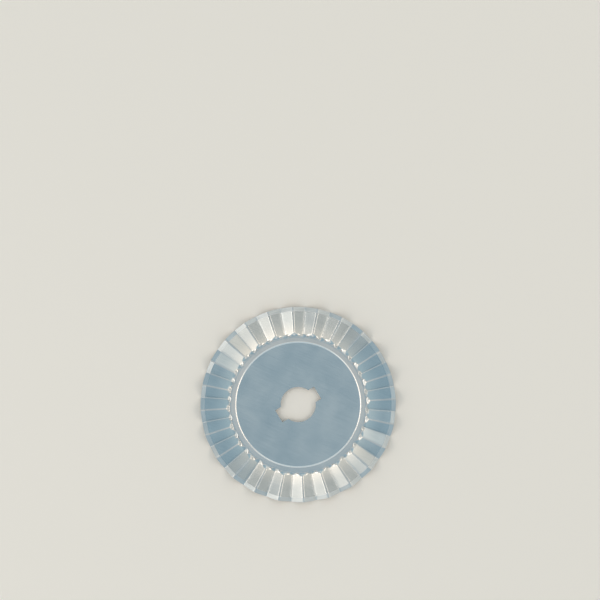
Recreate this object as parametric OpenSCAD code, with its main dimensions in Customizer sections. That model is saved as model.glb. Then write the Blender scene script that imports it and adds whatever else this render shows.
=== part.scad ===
// Rotary cutter blade with a pressed zigzag rim, one piece of hardened steel sheet.
// The disc lies flat with +Z up, its axis on the origin and its lowest flutes on z = 0.

/* [Disc] */
// outside diameter over the cutting edge, mm
blade_diameter = 45; // [40:0.5:60]
// thickness of the steel sheet, mm
sheet_thickness = 0.4; // [0.3:0.05:0.6]

/* [Centre hole] */
// diameter of the round part of the centre hole, mm
hole_diameter = 8; // [6:0.1:9]
// distance over the two key notches, end to end, mm
notch_span = 10.4; // [10:0.1:13]
// width of each key notch, mm
notch_width = 3.2; // [2:0.1:4]
// direction of the notches round the axis, degrees
notch_angle = 31.4; // [0:0.1:180]

/* [Web] */
// diameter of the web up to the dished band, mm
web_diameter = 29; // [24:0.2:29.6]
// height that the sheet climbs from the flat middle to the flutes, mm
dish_height = 0.2; // [0.1:0.05:0.5]
// width of the small step just inside the band, where the dish starts with a crease, mm
crease_width = 0.22; // [0.08:0.01:0.3]
// height of that step, mm
crease_height = 0.08; // [0.02:0.01:0.09]

/* [Flutes] */
// number of pressed flutes round the rim
flute_count = 24; // [18:1:32]
// diameter where the flutes begin, mm
flute_start_diameter = 31; // [31:0.2:34]
// length of the steep end wall of a flute, measured along a radius, mm
end_wall_length = 1; // [0.8:0.1:2]
// how much farther in a valley ends, and farther out a crest ends, than the middle of a face, mm
end_lean = 0.15; // [0:0.05:0.3]
// height of the zigzag at the rim, between its corners before the folds round them off, mm
wave_height = 1.8; // [0.8:0.1:2.4]
// radius on the inside of each fold, at the rim, mm
fold_radius = 0.3; // [0.15:0.05:0.5]
// direction of the first crest round the axis, degrees
crest_angle = 3.3; // [0:0.1:20]

/* [Ground edge] */
// width of the ground bevel along a radius, mm
bevel_width = 0.95; // [0.4:0.05:2]
// thickness left at the cutting edge, mm
edge_thickness = 0.04; // [0.02:0.01:0.1]

/* [Hidden] */
steel = [0.72, 0.75, 0.77];
rim_radius = blade_diameter / 2;
web_radius = web_diameter / 2;
flute_start = flute_start_diameter / 2;
flute_full = flute_start + end_wall_length;
bevel_start = rim_radius - bevel_width;
half_pitch = 180 / flute_count;
half_sheet = sheet_thickness / 2;
// length of half a flute round the rim
half_pitch_arc = rim_radius * half_pitch * PI / 180;
// slope of a flute face as rise over run, the same at every radius because all folds meet on the axis
face_slope = wave_height / half_pitch_arc;
face_angle = atan(face_slope);
// sheet measured straight up through a sloping face
upright_sheet = sheet_thickness / cos(face_angle);
// half the angle that the tight side and the wide side of a fold take up
tight_turn = fold_radius * sin(face_angle) / rim_radius * 180 / PI;
wide_turn = (fold_radius + sheet_thickness) * sin(face_angle) / rim_radius * 180 / PI;
// level of the middle of the sheet in the fluted rim, so that the lowest flute touches z = 0
valley_depth = wave_height / 2 * (1 - wide_turn / half_pitch);
deepest_at_bevel = valley_depth * bevel_start / rim_radius + upright_sheet / 2;
deepest_at_edge = valley_depth + edge_thickness / 2;
rim_level = max(deepest_at_bevel, deepest_at_edge);
web_level = rim_level - dish_height;
// what is left for the band to climb after the crease
band_rise = dish_height - crease_height;
// the dished band and the fluted rim reach into each other over the collar and thin there
collar_width = 0.25;
collar_gap = 0.05;
collar_end = flute_start - end_lean - collar_gap;
collar_start = collar_end - collar_width;
collar_relief = 0.03;
// how far a cut runs past each side of the sheet
over = 1;
// facets of a full circle, and steps along an end wall
round_faces = 180;
wall_steps = 4;

// share of the full flute height that the end wall has reached, as a smooth step from 0 to 1
function wall_share(part) = part * part * (3 - 2 * part);

// one row of the fluted rim: radius, share of the flute height, half the upright thickness, lean
function wall_row(part) = [
    flute_start + end_wall_length * part,
    wall_share(part),
    half_sheet + (upright_sheet / 2 - half_sheet) * wall_share(part),
    end_lean
];

rows = concat(
    [[collar_start, 0, half_sheet - collar_relief, 0]],
    [[collar_end, 0, half_sheet, 0]],
    [for (i = [0 : wall_steps]) wall_row(i / wall_steps)],
    [[bevel_start, 1, upright_sheet / 2, 0]],
    [[rim_radius, 1, edge_thickness / 2, 0]]
);

// directions of the points in one half flute, counted from the valley to just before the crest
half_turns = [
    0,
    tight_turn,
    wide_turn,
    half_pitch / 2,
    half_pitch - wide_turn,
    half_pitch - tight_turn
];
// the whole flute: valley to crest, then crest to the next valley
flute_turns = concat(
    half_turns,
    [half_pitch],
    [for (i = [len(half_turns) - 1 : -1 : 1]) 2 * half_pitch - half_turns[i]]
);
turns = [for (f = [0 : flute_count - 1]) for (turn = flute_turns) f * 2 * half_pitch + turn];
turn_count = len(turns);

// angle from the nearest valley
function from_valley(turn) = abs((turn + half_pitch) % (2 * half_pitch) - half_pitch);
// a fold is rounded by a parabola that leaves the two faces tangentially
function fold_relief(away, reach) = away < reach ? pow(reach - away, 2) / (reach * half_pitch) : 0;
// the plain zigzag: -1 in a valley, 1 on a crest, straight between them
function zigzag(turn) = 2 * from_valley(turn) / half_pitch - 1;
// the zigzag with its folds rounded
function wave(turn, valley_reach, crest_reach) =
    zigzag(turn)
    + fold_relief(from_valley(turn), valley_reach)
    - fold_relief(half_pitch - from_valley(turn), crest_reach);

// valleys are tight and crests wide on the upper side, the other way round below
function upper_wave(turn) = wave(turn, tight_turn, wide_turn);
function lower_wave(turn) = wave(turn, wide_turn, tight_turn);
// a wall leans outward on the crests and inward in the valleys
function leaned(row, turn) = row[0] + row[3] * zigzag(turn);
function swing(row, turn) = wave_height / 2 * leaned(row, turn) / rim_radius * row[1];
// level of the middle of the sheet, climbing along the dished band and level in the flutes
function band_level(radius) =
    web_level + crease_height + band_rise * min(1, (radius - web_radius) / (flute_start - web_radius));
function place(row, turn, height) = [
    leaned(row, turn) * cos(turn + crest_angle - half_pitch),
    leaned(row, turn) * sin(turn + crest_angle - half_pitch),
    band_level(leaned(row, turn)) + height
];

// the sheet pressed into flutes, as a closed skin over rows of points above and below
module fluted_rim() {
    upper = [
        for (row = rows) for (turn = turns)
            place(row, turn, swing(row, turn) * upper_wave(turn) + row[2])
    ];
    lower = [
        for (row = rows) for (turn = turns)
            place(row, turn, swing(row, turn) * lower_wave(turn) - row[2])
    ];
    under = len(upper);
    skin = [
        for (i = [0 : len(rows) - 2]) for (j = [0 : turn_count - 1])
            let (
                k = (j + 1) % turn_count,
                near = i * turn_count,
                far = near + turn_count
            )
            each [
                [near + j, near + k, far + k],
                [near + j, far + k, far + j],
                [under + near + j, under + far + k, under + near + k],
                [under + near + j, under + far + j, under + far + k]
            ]
    ];
    last = (len(rows) - 1) * turn_count;
    ends = [
        for (j = [0 : turn_count - 1])
            let (k = (j + 1) % turn_count)
            each [
                [j, under + j, under + k],
                [j, under + k, k],
                [last + j, last + k, under + last + k],
                [last + j, under + last + k, under + last + j]
            ]
    ];
    polyhedron(points = concat(upper, lower), faces = concat(skin, ends), convexity = 6);
}

// flat middle with the crease and the dished band round it, turned from its section
module web() {
    crease_start = web_radius - crease_width;
    band_tip = half_sheet - collar_relief;
    section = [
        [0, web_level - half_sheet],
        [crease_start, web_level - half_sheet],
        [web_radius, band_level(web_radius) - half_sheet],
        [collar_start, band_level(collar_start) - half_sheet],
        [collar_end, band_level(collar_end) - band_tip],
        [collar_end, band_level(collar_end) + band_tip],
        [collar_start, band_level(collar_start) + half_sheet],
        [web_radius, band_level(web_radius) + half_sheet],
        [crease_start, web_level + half_sheet],
        [0, web_level + half_sheet]
    ];
    rotate_extrude($fn = round_faces)
        polygon(section);
}

// round hole with two opposite notches that key the blade to its holder
module keyed_hole() {
    cut_height = sheet_thickness + 2 * over;
    translate([0, 0, web_level - cut_height / 2]) {
        cylinder(d = hole_diameter, h = cut_height, $fn = round_faces);
        rotate([0, 0, notch_angle])
            translate([-notch_span / 2, -notch_width / 2, 0])
                cube([notch_span, notch_width, cut_height]);
    }
}

module blade() {
    color(steel)
        difference() {
            union() {
                web();
                fluted_rim();
            }
            keyed_hole();
        }
}

blade();
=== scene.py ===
import math

import bmesh
import bpy
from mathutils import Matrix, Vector


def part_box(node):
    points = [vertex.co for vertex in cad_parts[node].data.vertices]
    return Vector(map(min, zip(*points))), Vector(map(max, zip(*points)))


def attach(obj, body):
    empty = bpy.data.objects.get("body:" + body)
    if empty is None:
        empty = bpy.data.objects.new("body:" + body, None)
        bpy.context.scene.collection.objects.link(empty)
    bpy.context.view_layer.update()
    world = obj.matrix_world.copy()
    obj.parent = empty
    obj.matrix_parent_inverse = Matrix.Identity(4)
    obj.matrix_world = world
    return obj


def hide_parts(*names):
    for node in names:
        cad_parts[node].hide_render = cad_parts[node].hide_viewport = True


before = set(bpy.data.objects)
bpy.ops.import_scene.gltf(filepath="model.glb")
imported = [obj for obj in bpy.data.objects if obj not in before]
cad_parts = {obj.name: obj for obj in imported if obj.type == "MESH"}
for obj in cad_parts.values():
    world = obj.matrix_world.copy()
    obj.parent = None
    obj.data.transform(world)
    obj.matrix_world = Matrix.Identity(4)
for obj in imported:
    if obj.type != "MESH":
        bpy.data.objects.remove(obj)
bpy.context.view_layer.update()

scene = bpy.context.scene
mm = 0.001
noiseLow, noiseHigh = 0.3, 0.7    # a noise texture seldom leaves this range


def srgb(hexColour):
    # sRGB hex to the linear values that the shaders work in
    channels = [int(hexColour[i:i + 2], 16) / 255 for i in (0, 2, 4)]
    return [c / 12.92 if c <= 0.04045 else ((c + 0.055) / 1.055) ** 2.4 for c in channels] + [1.0]


def addNode(tree, kind, feeds=None, **settings):
    # one node, its settings, and its inputs from values, sockets or other nodes' first outputs
    node = tree.nodes.new(kind)
    for name, value in settings.items():
        setattr(node, name, value)
    for key, value in (feeds or {}).items():
        if isinstance(value, bpy.types.Node):
            value = value.outputs[0]
        if isinstance(value, bpy.types.NodeSocket):
            tree.links.new(value, node.inputs[key])
        else:
            node.inputs[key].default_value = value
    return node


# The blade: one disc of sheet steel, flat in the middle, pressed into flutes at the rim

blade = {
    "sheet": 0.4 * mm,
    "holeDiameter": 8 * mm,
    "notchSpan": 10.4 * mm,
    "notchWidth": 3.2 * mm,
    "notchDirection": 31.4,       # degrees
    "chamferWidth": 0.05 * mm,
    "chamferDepth": 0.08 * mm,
    "webDiameter": 29 * mm,
    "dishHeight": 0.2 * mm,
    "creaseWidth": 0.22 * mm,
    "creaseHeight": 0.08 * mm,
    "flutes": 24,
    "fluteStartDiameter": 31 * mm,
    "endWall": 1 * mm,
    "endLean": 0.15 * mm,
    "waveHeight": 1.8 * mm,
    "foldRadius": 0.3 * mm,
    "crestDirection": 3.3,        # degrees
    "bevelWidth": 0.95 * mm,
    "edgeThickness": 0.04 * mm,
}

# how finely the blade's net is divided
fineness = {
    "webRings": (6.2 * mm, 9 * mm, 12 * mm),
    "foldSteps": 3,
    "faceSteps": 4,
    "creaseSteps": 5,
    "wallSteps": 18,
    "besideEdge": 0.03 * mm,
    "besideBend": 0.3 * mm,
    "afterCrease": 0.25 * mm,
    "besideRim": 0.4 * mm,
    "besideCorner": 0.12,         # degrees
    "sharpFrom": 28,              # degrees
}

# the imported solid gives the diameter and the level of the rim
boxLow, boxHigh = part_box("blade")
rimRadius = (boxHigh.x - boxLow.x) / 2
rimLevel = (boxHigh.z + boxLow.z) / 2
webRadius = blade["webDiameter"] / 2
fluteStart = blade["fluteStartDiameter"] / 2
bevelStart = rimRadius - blade["bevelWidth"]
halfPitch = math.pi / blade["flutes"]
faceAngle = math.atan(blade["waveHeight"] / (rimRadius * halfPitch))
# how far a fold's rounding reaches either way, in half flutes
tightReach = blade["foldRadius"] * math.sin(faceAngle) / rimRadius / halfPitch
wideReach = (blade["foldRadius"] + blade["sheet"]) * math.sin(faceAngle) / rimRadius / halfPitch


def holeRadius(direction):
    # distance from the axis to the edge of the keyed hole
    away = abs((direction - math.radians(blade["notchDirection"]) + math.pi / 2) % math.pi - math.pi / 2)
    tiny = 0.001    # keeps the divisions finite
    reach = blade["notchSpan"] / 2 / max(math.cos(away), tiny)
    side = blade["notchWidth"] / 2 / max(math.sin(away), tiny)
    return max(blade["holeDiameter"] / 2, min(reach, side))


def bladeDirections():
    # every direction that has a row of points: close together at the folds, wider on the faces
    folds, faces = fineness["foldSteps"], fineness["faceSteps"]
    half = [tightReach * k / folds for k in range(folds + 1)]
    half += [tightReach + (wideReach - tightReach) * k / folds for k in range(1, folds + 1)]
    half += [wideReach + (0.5 - wideReach) * k / faces for k in range(1, faces + 1)]
    flute = sorted(set(half + [1 - h for h in half]))
    flute = flute + [2 - h for h in reversed(flute[1:-1])]
    first = math.radians(blade["crestDirection"])
    directions = [first + (2 * k + h) * halfPitch for k in range(blade["flutes"]) for h in flute]
    mouth = math.asin(blade["notchWidth"] / blade["holeDiameter"])
    corner = math.atan(blade["notchWidth"] / blade["notchSpan"])
    notch = math.radians(blade["notchDirection"])
    corners = [notch + turn + s * a for turn in (0, math.pi) for s in (-1, 1) for a in (mouth, corner)]
    full = 2 * math.pi
    kept = [d % full for d in corners]
    near = math.radians(fineness["besideCorner"])
    for d in directions:
        d %= full
        if all(abs((d - c + math.pi) % full - math.pi) > near for c in kept[:len(corners)]):
            kept.append(d)
    return sorted(kept)


def bladeRows():
    # each row: what it follows, its distance from the edge of the hole or from the axis,
    # and its side of the sheet, from -1 below to 1 above
    crease = blade["creaseWidth"]
    wall = blade["endWall"]
    lean = blade["endLean"]
    edge = fineness["besideEdge"]
    bend = fineness["besideBend"]
    out = [*fineness["webRings"], webRadius - crease - bend]
    steps = fineness["creaseSteps"]
    out += [webRadius - crease - edge + (crease + 2 * edge) * k / steps for k in range(steps + 1)]
    out += [webRadius + fineness["afterCrease"], fluteStart - lean - bend]
    steps = fineness["wallSteps"]
    out += [fluteStart - lean + (wall + 2 * lean) * k / steps for k in range(steps + 1)]
    plain = bevelStart - fluteStart - wall - lean
    steps = fineness["faceSteps"]
    out += [bevelStart - plain * k / steps for k in range(steps - 1, 0, -1)]
    out += [bevelStart - edge, bevelStart, bevelStart + edge, rimRadius - fineness["besideRim"], rimRadius]
    chamfer = blade["chamferWidth"]
    chamferFoot = 1 - blade["chamferDepth"] / (blade["sheet"] / 2)
    rows = [("hole", 0, chamferFoot), ("hole", chamfer, 1)]
    rows += [("ring", r, 1) for r in out]
    rows += [("ring", r, -1) for r in reversed(out)]
    rows += [("hole", chamfer, -1), ("hole", 0, -chamferFoot)]
    return rows


def flatBlank():
    # the blank before pressing: a closed flat net, with the side of the sheet kept on each point
    directions = bladeDirections()
    rows = bladeRows()
    net = bmesh.new()
    sideLayer = net.verts.layers.float.new("side")
    points = []
    for kind, distance, side in rows:
        ring = []
        for d in directions:
            r = distance + holeRadius(d) if kind == "hole" else distance
            v = net.verts.new((r * math.cos(d), r * math.sin(d), 0))
            v[sideLayer] = side
            ring.append(v)
        points.append(ring)
    count = len(directions)
    for i in range(len(rows)):
        near, far = points[i], points[(i + 1) % len(rows)]
        for j in range(count):
            k = (j + 1) % count
            net.faces.new((near[j], far[j], far[k], near[k]))
    mesh = bpy.data.meshes.new("flatBlank")
    net.to_mesh(mesh)
    net.free()
    return mesh


def pressingTree(webSteel, edgeSteel):
    # the press tool as a rule: lifts each point of the flat blank to its place on the fluted sheet
    tree = bpy.data.node_groups.new("pressFlutes", "GeometryNodeTree")
    face = tree.interface
    face.new_socket("Geometry", in_out="INPUT", socket_type="NodeSocketGeometry")
    sizes = {
        "Flutes": blade["flutes"],
        "Crest Direction": math.radians(blade["crestDirection"]),
        "Wave Height": blade["waveHeight"],
        "Rim Radius": rimRadius,
        "Tight Reach": tightReach,
        "Wide Reach": wideReach,
        "Flute Start": fluteStart,
        "End Wall": blade["endWall"],
        "End Lean": blade["endLean"],
        "Web Radius": webRadius,
        "Dish Height": blade["dishHeight"],
        "Crease Width": blade["creaseWidth"],
        "Crease Height": blade["creaseHeight"],
        "Half Sheet": blade["sheet"] / 2,
        "Half Upright": blade["sheet"] / 2 / math.cos(faceAngle),
        "Bevel Start": bevelStart,
        "Half Edge": blade["edgeThickness"] / 2,
        "Rim Level": rimLevel,
    }
    for name in sizes:
        face.new_socket(name, in_out="INPUT", socket_type="NodeSocketFloat")
    face.new_socket("Geometry", in_out="OUTPUT", socket_type="NodeSocketGeometry")
    given = addNode(tree, "NodeGroupInput").outputs
    math1 = "ShaderNodeMath"
    place = addNode(tree, "GeometryNodeInputPosition")
    xyz = addNode(tree, "ShaderNodeSeparateXYZ", {0: place}).outputs
    radius = addNode(tree, "ShaderNodeVectorMath", {0: place}, operation="LENGTH").outputs["Value"]
    side = addNode(tree, "GeometryNodeInputNamedAttribute", {"Name": "side"}, data_type="FLOAT")

    # where the point stands between crest (0) and valley (1)
    direction = addNode(tree, math1, {0: xyz["Y"], 1: xyz["X"]}, operation="ARCTAN2")
    turned = addNode(tree, math1, {0: direction, 1: given["Crest Direction"]}, operation="SUBTRACT")
    perTurn = addNode(tree, math1, {0: given["Flutes"], 1: math.pi}, operation="DIVIDE")
    inFlutes = addNode(tree, math1, {0: turned, 1: perTurn}, operation="MULTIPLY")
    fromCrest = addNode(tree, math1, {0: inFlutes, 1: 1.0}, operation="PINGPONG")
    fromValley = addNode(tree, math1, {0: 1.0, 1: fromCrest}, operation="SUBTRACT")

    # a fold is tight inside and wide outside, so crests and valleys swap below the sheet
    upper = addNode(tree, "ShaderNodeMapRange", {"Value": side, "From Min": -1.0, "From Max": 1.0})
    reliefs = []
    for away, below, above in (
        (fromValley, given["Wide Reach"], given["Tight Reach"]),
        (fromCrest, given["Tight Reach"], given["Wide Reach"]),
    ):
        reach = addNode(tree, "ShaderNodeMix", {"Factor": upper, "A": below, "B": above}, data_type="FLOAT")
        inside = addNode(tree, math1, {0: reach, 1: away}, operation="SUBTRACT")
        inside = addNode(tree, math1, {0: inside, 1: 0.0}, operation="MAXIMUM")
        squared = addNode(tree, math1, {0: inside, 1: inside}, operation="MULTIPLY")
        reliefs.append(addNode(tree, math1, {0: squared, 1: reach}, operation="DIVIDE"))
    sharp = addNode(tree, math1, {0: fromValley, 1: 2.0, 2: -1.0}, operation="MULTIPLY_ADD")
    lifted = addNode(tree, math1, {0: sharp, 1: reliefs[0]}, operation="ADD")
    wave = addNode(tree, math1, {0: lifted, 1: reliefs[1]}, operation="SUBTRACT")

    # the flutes grow with the distance from the axis and end in a steep wall,
    # which stands farther out on the crests than in the valleys
    lean = addNode(tree, math1, {0: sharp, 1: given["End Lean"]}, operation="MULTIPLY")
    leaned = addNode(tree, math1, {0: radius, 1: lean}, operation="SUBTRACT")
    wallEnd = addNode(tree, math1, {0: given["Flute Start"], 1: given["End Wall"]}, operation="ADD")
    share = addNode(
        tree, "ShaderNodeMapRange",
        {"Value": leaned, "From Min": given["Flute Start"], "From Max": wallEnd},
        interpolation_type="SMOOTHSTEP",
    )
    perRadius = addNode(tree, math1, {0: given["Wave Height"], 1: given["Rim Radius"]}, operation="DIVIDE")
    swing = addNode(tree, math1, {0: perRadius, 1: radius}, operation="MULTIPLY")
    swing = addNode(tree, math1, {0: swing, 1: share}, operation="MULTIPLY")
    swing = addNode(tree, math1, {0: swing, 1: 0.5}, operation="MULTIPLY")
    pressed = addNode(tree, math1, {0: swing, 1: wave}, operation="MULTIPLY")

    # the dished band climbs from a crease round the flat middle to the level of the flutes
    creaseStart = addNode(
        tree, math1, {0: given["Web Radius"], 1: given["Crease Width"]}, operation="SUBTRACT")
    crease = addNode(
        tree, "ShaderNodeMapRange",
        {"Value": radius, "From Min": creaseStart, "From Max": given["Web Radius"],
         "To Min": 0.0, "To Max": given["Crease Height"]},
        interpolation_type="SMOOTHSTEP",
    )
    rest = addNode(tree, math1, {0: given["Dish Height"], 1: given["Crease Height"]}, operation="SUBTRACT")
    band = addNode(
        tree, "ShaderNodeMapRange",
        {"Value": radius, "From Min": given["Web Radius"], "From Max": given["Flute Start"],
         "To Min": 0.0, "To Max": rest},
    )
    level = addNode(tree, math1, {0: given["Rim Level"], 1: given["Dish Height"]}, operation="SUBTRACT")
    level = addNode(tree, math1, {0: level, 1: crease}, operation="ADD")
    level = addNode(tree, math1, {0: level, 1: band}, operation="ADD")

    # half the sheet, measured upright, thinned to the edge by the bevel
    body = addNode(
        tree, "ShaderNodeMix",
        {"Factor": share, "A": given["Half Sheet"], "B": given["Half Upright"]}, data_type="FLOAT",
    )
    half = addNode(
        tree, "ShaderNodeMapRange",
        {"Value": radius, "From Min": given["Bevel Start"], "From Max": given["Rim Radius"],
         "To Min": body, "To Max": given["Half Edge"]},
    )
    offset = addNode(tree, math1, {0: half, 1: side}, operation="MULTIPLY")
    height = addNode(tree, math1, {0: level, 1: pressed}, operation="ADD")
    height = addNode(tree, math1, {0: height, 1: offset}, operation="ADD")
    lift = addNode(tree, "ShaderNodeCombineXYZ", {"Z": height})

    raised = addNode(tree, "GeometryNodeSetPosition", {"Geometry": given["Geometry"], "Offset": lift})
    smooth = addNode(tree, "GeometryNodeSetShadeSmooth", {"Geometry": raised})
    real = addNode(tree, "GeometryNodeRealizeInstances", {"Geometry": smooth})
    steel = addNode(tree, "GeometryNodeSetMaterial", {"Geometry": real, "Material": webSteel})
    ground = addNode(tree, math1, {0: radius, 1: given["Bevel Start"]}, operation="GREATER_THAN")
    edged = addNode(
        tree, "GeometryNodeSetMaterial",
        {"Geometry": steel, "Selection": ground, "Material": edgeSteel},
    )
    addNode(tree, "NodeGroupOutput", {"Geometry": edged})
    return tree, sizes


def polishedToolSteel():
    # hardened carbon tool steel, rolled, tempered and polished: a cool grey mirror gone slightly soft,
    # with faint lines along the rolling direction and the thin film of oil that blades are packed in;
    # the colour is painted paler at the inner ends of the flutes, a painted highlight for their bright
    # reflection, and a near-white painted highlight line runs along the crease round the flat middle
    look = {
        "pale": "DADEDF", "dark": "B9C0C4", "paintedHighlight": "E9E8E5",
        "creaseHighlight": "FAFAF8", "creaseHighlightCore": 0.6,
        "rollingLine": 0.14 * mm, "rollingDirection": 24, "rollingStretch": 0.02,
        "lineContrast": (0.32, 0.68), "lineShare": 0.3, "lineRelief": 0.2, "lineGloss": 0.12,
        "oilPatch": 5 * mm, "oilGloss": (0.11, 0.16),
        "paintedHighlightFrom": 15.8 * mm, "paintedHighlightFull": 16.4 * mm, "paintedHighlightTo": 20 * mm,
        "paintedHighlightFade": 1.6, "reliefDepth": 0.01 * mm,
    }
    material = bpy.data.materials.new("polishedToolSteel")
    material.use_nodes = True
    tree = material.node_tree
    tree.nodes.clear()
    where = addNode(tree, "ShaderNodeTexCoord").outputs["Object"]
    # the sheet was rolled flat before it was pressed, so its lines don't follow the flutes
    flat = addNode(tree, "ShaderNodeVectorMath", {0: where, 1: (1, 1, 0)}, operation="MULTIPLY")
    turned = addNode(
        tree, "ShaderNodeVectorRotate",
        {"Vector": flat, "Angle": math.radians(look["rollingDirection"])}, rotation_type="Z_AXIS",
    )
    along = addNode(
        tree, "ShaderNodeVectorMath",
        {0: turned, 1: (look["rollingStretch"], 1, 1)}, operation="MULTIPLY",
    )
    lines = addNode(tree, "ShaderNodeTexNoise", {
        "Vector": along, "Scale": 1 / look["rollingLine"], "Detail": 4.0, "Roughness": 0.65})
    oil = addNode(tree, "ShaderNodeTexNoise", {
        "Vector": where, "Scale": 1 / look["oilPatch"], "Detail": 2.0, "Roughness": 0.5})
    streaks = addNode(tree, "ShaderNodeMapRange", {
        "Value": lines.outputs["Fac"],
        "From Min": look["lineContrast"][0], "From Max": look["lineContrast"][1]})
    mottle = addNode(tree, "ShaderNodeMix", {
        "Factor": look["lineShare"], "A": oil.outputs["Fac"], "B": streaks}, data_type="FLOAT")
    # a Mix node holds one set of inputs for each kind of data, so colours go in by position
    tone = addNode(tree, "ShaderNodeMix", {
        0: mottle, 6: srgb(look["dark"]), 7: srgb(look["pale"])}, data_type="RGBA")
    outward = addNode(tree, "ShaderNodeVectorMath", {0: flat}, operation="LENGTH").outputs["Value"]
    # painted highlight: paler colour that starts at the inner ends of the flutes and fades out towards the
    # rim
    begun = addNode(tree, "ShaderNodeMapRange", {
        "Value": outward, "From Min": look["paintedHighlightFrom"], "From Max": look["paintedHighlightFull"]})
    faded = addNode(tree, "ShaderNodeMapRange", {
        "Value": outward, "From Min": look["paintedHighlightTo"], "From Max": look["paintedHighlightFull"]})
    paintedHighlightShare = addNode(tree, "ShaderNodeMath", {0: faded, 1: look["paintedHighlightFade"]}, operation="POWER")
    paintedHighlightShare = addNode(tree, "ShaderNodeMath", {0: paintedHighlightShare, 1: begun}, operation="MULTIPLY")
    tone = addNode(tree, "ShaderNodeMix", {
        0: paintedHighlightShare, 6: tone.outputs[2], 7: srgb(look["paintedHighlight"])}, data_type="RGBA")
    # painted highlight: a near-white line painted along the crease round the flat middle
    creaseMiddle = webRadius - blade["creaseWidth"] / 2
    fromCrease = addNode(tree, "ShaderNodeMath", {0: outward, 1: creaseMiddle}, operation="SUBTRACT")
    fromCrease = addNode(tree, "ShaderNodeMath", {0: fromCrease}, operation="ABSOLUTE")
    onCrease = addNode(tree, "ShaderNodeMapRange", {
        "Value": fromCrease,
        "From Min": blade["creaseWidth"], "From Max": look["creaseHighlightCore"] * blade["creaseWidth"]})
    tone = addNode(tree, "ShaderNodeMix", {
        0: onCrease, 6: tone.outputs[2], 7: srgb(look["creaseHighlight"])}, data_type="RGBA")
    film = addNode(tree, "ShaderNodeMapRange", {
        "Value": oil.outputs["Fac"], "From Min": noiseLow, "From Max": noiseHigh,
        "To Min": look["oilGloss"][0], "To Max": look["oilGloss"][1]})
    sheen = addNode(tree, "ShaderNodeMath", {
        0: lines.outputs["Fac"], 1: look["lineGloss"], 2: film}, operation="MULTIPLY_ADD")
    relief = addNode(tree, "ShaderNodeBump", {
        "Height": lines.outputs["Fac"], "Strength": look["lineRelief"], "Distance": look["reliefDepth"]})
    steel = addNode(tree, "ShaderNodeBsdfPrincipled", {
        "Base Color": tone.outputs[2], "Metallic": 1.0, "Roughness": sheen, "Normal": relief})
    addNode(tree, "ShaderNodeOutputMaterial", {"Surface": steel})
    return material


def groundEdgeSteel():
    # the same steel where the wheel has cut the bevel: paler and duller than the polished sheet,
    # with fine scratches that run round the rim
    look = {
        "pale": "DADFE1", "dark": "C1C9CD", "roughness": 0.36,
        "scratch": 0.07 * mm, "scratchStretch": 0.02, "scratchRelief": 0.5, "reliefDepth": 0.01 * mm,
    }
    material = bpy.data.materials.new("groundEdgeSteel")
    material.use_nodes = True
    tree = material.node_tree
    tree.nodes.clear()
    where = addNode(tree, "ShaderNodeTexCoord").outputs["Object"]
    flat = addNode(tree, "ShaderNodeVectorMath", {0: where, 1: (1, 1, 0)}, operation="MULTIPLY")
    outward = addNode(tree, "ShaderNodeVectorMath", {0: flat}, operation="LENGTH").outputs["Value"]
    stretched = addNode(
        tree, "ShaderNodeVectorMath", {0: where, "Scale": look["scratchStretch"]}, operation="SCALE")
    parts = addNode(tree, "ShaderNodeSeparateXYZ", {0: stretched}).outputs
    around = addNode(tree, "ShaderNodeCombineXYZ", {"X": outward, "Y": parts["X"], "Z": parts["Y"]})
    scratches = addNode(tree, "ShaderNodeTexNoise", {
        "Vector": around, "Scale": 1 / look["scratch"], "Detail": 2.0, "Roughness": 0.7})
    relief = addNode(tree, "ShaderNodeBump", {
        "Height": scratches.outputs["Fac"], "Strength": look["scratchRelief"],
        "Distance": look["reliefDepth"]})
    marks = addNode(tree, "ShaderNodeMapRange", {
        "Value": scratches.outputs["Fac"], "From Min": noiseLow, "From Max": noiseHigh})
    tone = addNode(tree, "ShaderNodeMix", {
        0: marks, 6: srgb(look["dark"]), 7: srgb(look["pale"])}, data_type="RGBA")
    steel = addNode(tree, "ShaderNodeBsdfPrincipled", {
        "Base Color": tone.outputs[2], "Metallic": 1.0, "Roughness": look["roughness"], "Normal": relief})
    addNode(tree, "ShaderNodeOutputMaterial", {"Surface": steel})
    return material


def pressBlade():
    tree, sizes = pressingTree(polishedToolSteel(), groundEdgeSteel())
    blank = bpy.data.objects.new("bladeBlank", flatBlank())
    scene.collection.objects.link(blank)
    press = blank.modifiers.new("press", "NODES")
    press.node_group = tree
    for item in tree.interface.items_tree:
        if item.in_out == "INPUT" and item.name in sizes:
            press[item.identifier] = float(sizes[item.name])
    evaluated = blank.evaluated_get(bpy.context.evaluated_depsgraph_get())
    mesh = bpy.data.meshes.new_from_object(evaluated)
    blank.modifiers.remove(press)
    bpy.data.objects.remove(blank)
    mesh.name = "flutedBlade"
    if "side" in mesh.attributes:
        mesh.attributes.remove(mesh.attributes["side"])
    mesh.set_sharp_from_angle(angle=math.radians(fineness["sharpFrom"]))
    piece = bpy.data.objects.new("flutedBlade", mesh)
    scene.collection.objects.link(piece)
    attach(piece, "root")
    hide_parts("blade")
    return piece


bladePiece = pressBlade()
print("blade pressed:", len(bladePiece.data.polygons), "faces")

# The studio: a pale floor, soft panels, and a room with grey sides, blue-grey ends and a pale ring
# and two dark flags overhead

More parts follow.
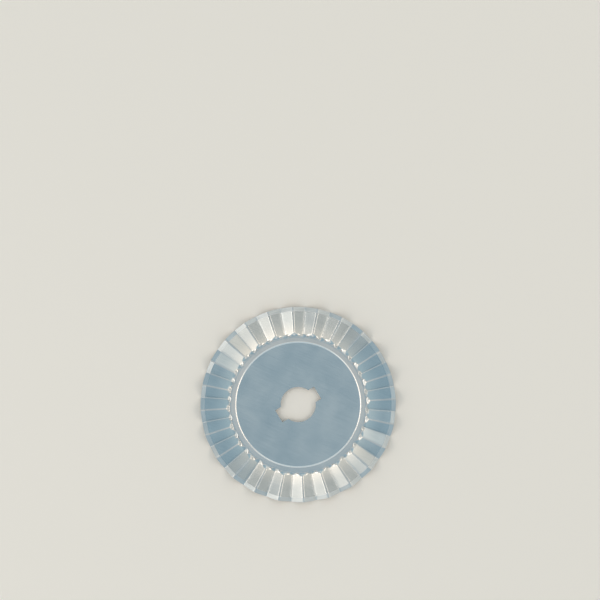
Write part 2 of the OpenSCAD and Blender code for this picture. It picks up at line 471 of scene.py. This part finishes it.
studio = {
    "endWall": "A4BECA",
    "sideWall": "CCCEC9",
    "sideWallDirection": 5,       # degrees round the blade
    "sideWallFrom": 0.42,         # how far sideways a direction points where the grey begins
    "sideWallFull": 0.7,
    "ceiling": "ABC2CD",
    "ceilingRing": "DCDCD9",
    "ringFrom": 12,               # degrees off the vertical
    "ringTo": 26,
    "ringInnerBlur": 4,
    "ringOuterBlur": 16,
    "flag": "7E7F7C",
    "flagFrom": 20,               # degrees off the vertical
    "flagTo": 46,
    "flagBlur": 6,
    "flagHalfWidth": 25,          # degrees either way round the blade
    "flagSideBlur": 17,
    "horizon": "F6F6F4",
    "horizonFrom": 73,
    "horizonTo": 82,
    "floorReach": 3.0,            # metres either way
    "floor": "FFF8F0",
    "panels": [
        # name, direction round the blade, height angle, distance, width, height, radiance, colour
        ("leftPanel", 206, 30, 0.5, 0.46, 0.40, 0.57, "FFF3E6"),
        ("leftFillPanel", 176, 30, 0.52, 0.18, 0.40, 0.12, "EEF4FA"),
        ("farRightPanel", 57, 30, 0.5, 0.24, 0.30, 0.38, "FFEBD2"),
        ("rightTopPanel", 0, 44, 0.7, 0.60, 0.17, 1.7, "FFF0E0"),
        ("rightRimPanel", 14, 75, 0.7, 0.62, 0.22, 0.15, "FFE6D0"),
        ("leftRimPanel", 180, 75, 0.7, 0.62, 0.16, 0.12, "FFE6D0"),
        ("leftTopPanel", 180, 42, 0.7, 0.60, 0.12, 2.0, "FFF2E6"),
    ],
}


def softPanel(name, azimuth, height, distance, width, tall, radiance, colour):
    lamp = bpy.data.lights.new(name, "AREA")
    lamp.shape = "RECTANGLE"
    lamp.size, lamp.size_y = width, tall
    lamp.energy = radiance * math.pi * width * tall
    lamp.color = srgb(colour)[:3]
    holder = bpy.data.objects.new(name, lamp)
    a, e = math.radians(azimuth), math.radians(height)
    away = Vector((math.cos(a) * math.cos(e), math.sin(a) * math.cos(e), math.sin(e)))
    holder.location = away * distance
    holder.rotation_euler = away.to_track_quat("Z", "Y").to_euler()
    scene.collection.objects.link(holder)


for panel in studio["panels"]:
    softPanel(*panel)


def roomLight():
    # warm grey towards the sides, cooler towards the ends, and a pale ring overhead
    room = bpy.data.worlds.new("studioRoom")
    room.use_nodes = True
    tree = room.node_tree
    tree.nodes.clear()
    toward = addNode(tree, "ShaderNodeTexCoord").outputs["Generated"]
    a = math.radians(studio["sideWallDirection"])
    sideways = addNode(tree, "ShaderNodeVectorMath", {0: toward, 1: (math.cos(a), math.sin(a), 0)},
                       operation="DOT_PRODUCT").outputs["Value"]
    sideways = addNode(tree, "ShaderNodeMath", {0: sideways}, operation="ABSOLUTE")
    sideShare = addNode(tree, "ShaderNodeMapRange", {
        "Value": sideways, "From Min": studio["sideWallFrom"], "From Max": studio["sideWallFull"]},
        interpolation_type="SMOOTHSTEP")
    walls = addNode(tree, "ShaderNodeMix", {
        0: sideShare, 6: srgb(studio["endWall"]), 7: srgb(studio["sideWall"])}, data_type="RGBA")
    up = addNode(tree, "ShaderNodeSeparateXYZ", {0: toward}).outputs["Z"]
    tilt = addNode(tree, "ShaderNodeMath", {0: up}, operation="ARCCOSINE")
    light = walls.outputs[2]
    innerBlur = studio["ringInnerBlur"]
    for start, end, colour in (
        (studio["ringTo"] + studio["ringOuterBlur"], studio["ringTo"], "ceilingRing"),
        (studio["ringFrom"] + innerBlur, studio["ringFrom"] - innerBlur, "ceiling"),
        (studio["horizonFrom"], studio["horizonTo"], "horizon"),
    ):
        share = addNode(tree, "ShaderNodeMapRange", {
            "Value": tilt, "From Min": math.radians(start), "From Max": math.radians(end)},
            interpolation_type="SMOOTHSTEP")
        light = addNode(tree, "ShaderNodeMix", {
            0: share, 6: light, 7: srgb(studio[colour])}, data_type="RGBA").outputs[2]
    # a dark flag overhead on each side, which the crests of the folds mirror as dark lines
    level = addNode(tree, "ShaderNodeMath", {0: tilt}, operation="SINE")
    toSide = addNode(tree, "ShaderNodeMath", {0: sideways, 1: level}, operation="DIVIDE")
    turn = addNode(tree, "ShaderNodeMath", {0: toSide}, operation="ARCCOSINE")
    flag = 1.0
    for value, start, end in (
        (turn, studio["flagHalfWidth"] + studio["flagSideBlur"], studio["flagHalfWidth"]),
        (tilt, studio["flagFrom"], studio["flagFrom"] + studio["flagBlur"]),
        (tilt, studio["flagTo"], studio["flagTo"] - studio["flagBlur"]),
    ):
        share = addNode(tree, "ShaderNodeMapRange", {
            "Value": value, "From Min": math.radians(start), "From Max": math.radians(end)},
            interpolation_type="SMOOTHSTEP")
        flag = addNode(tree, "ShaderNodeMath", {0: share, 1: flag}, operation="MULTIPLY")
    light = addNode(tree, "ShaderNodeMix", {
        0: flag, 6: light, 7: srgb(studio["flag"])}, data_type="RGBA").outputs[2]
    glow = addNode(tree, "ShaderNodeBackground", {"Color": light, "Strength": 1.0})
    addNode(tree, "ShaderNodeOutputWorld", {"Surface": glow})
    scene.world = room


roomLight()


def paleFloor():
    mesh = bpy.data.meshes.new("paleFloor")
    net = bmesh.new()
    bmesh.ops.create_grid(net, x_segments=1, y_segments=1, size=studio["floorReach"])
    net.to_mesh(mesh)
    net.free()
    floor = bpy.data.objects.new("paleFloor", mesh)
    scene.collection.objects.link(floor)
    material = bpy.data.materials.new("mattPaper")   # matt white paper board
    material.use_nodes = True
    shader = material.node_tree.nodes["Principled BSDF"]
    shader.inputs["Base Color"].default_value = srgb(studio["floor"])
    shader.inputs["Roughness"].default_value = 0.9
    mesh.materials.append(material)


paleFloor()
print("studio lit")

# The camera looks straight down, as the photograph does; the blade sits low in its frame

view = {
    "pictureSide": 600,           # pixels
    "bladeCentre": (298.2, 404.5),
    "bladeRadius": 97.6,
    "height": 0.45,
    "sensor": 36,                 # mm
}

perPixel = rimRadius / view["bladeRadius"]
middle = view["pictureSide"] / 2
cameraData = bpy.data.cameras.new("camera")
cameraData.sensor_width = view["sensor"]
cameraData.lens = view["sensor"] * view["height"] / (view["pictureSide"] * perPixel)
cameraData.clip_start = 0.01
camera = bpy.data.objects.new("camera", cameraData)
camera.location = (
    (middle - view["bladeCentre"][0]) * perPixel,
    (view["bladeCentre"][1] - middle) * perPixel,
    rimLevel + view["height"],
)
scene.collection.objects.link(camera)
scene.camera = camera
scene.view_settings.view_transform = "Standard"
print("camera set")
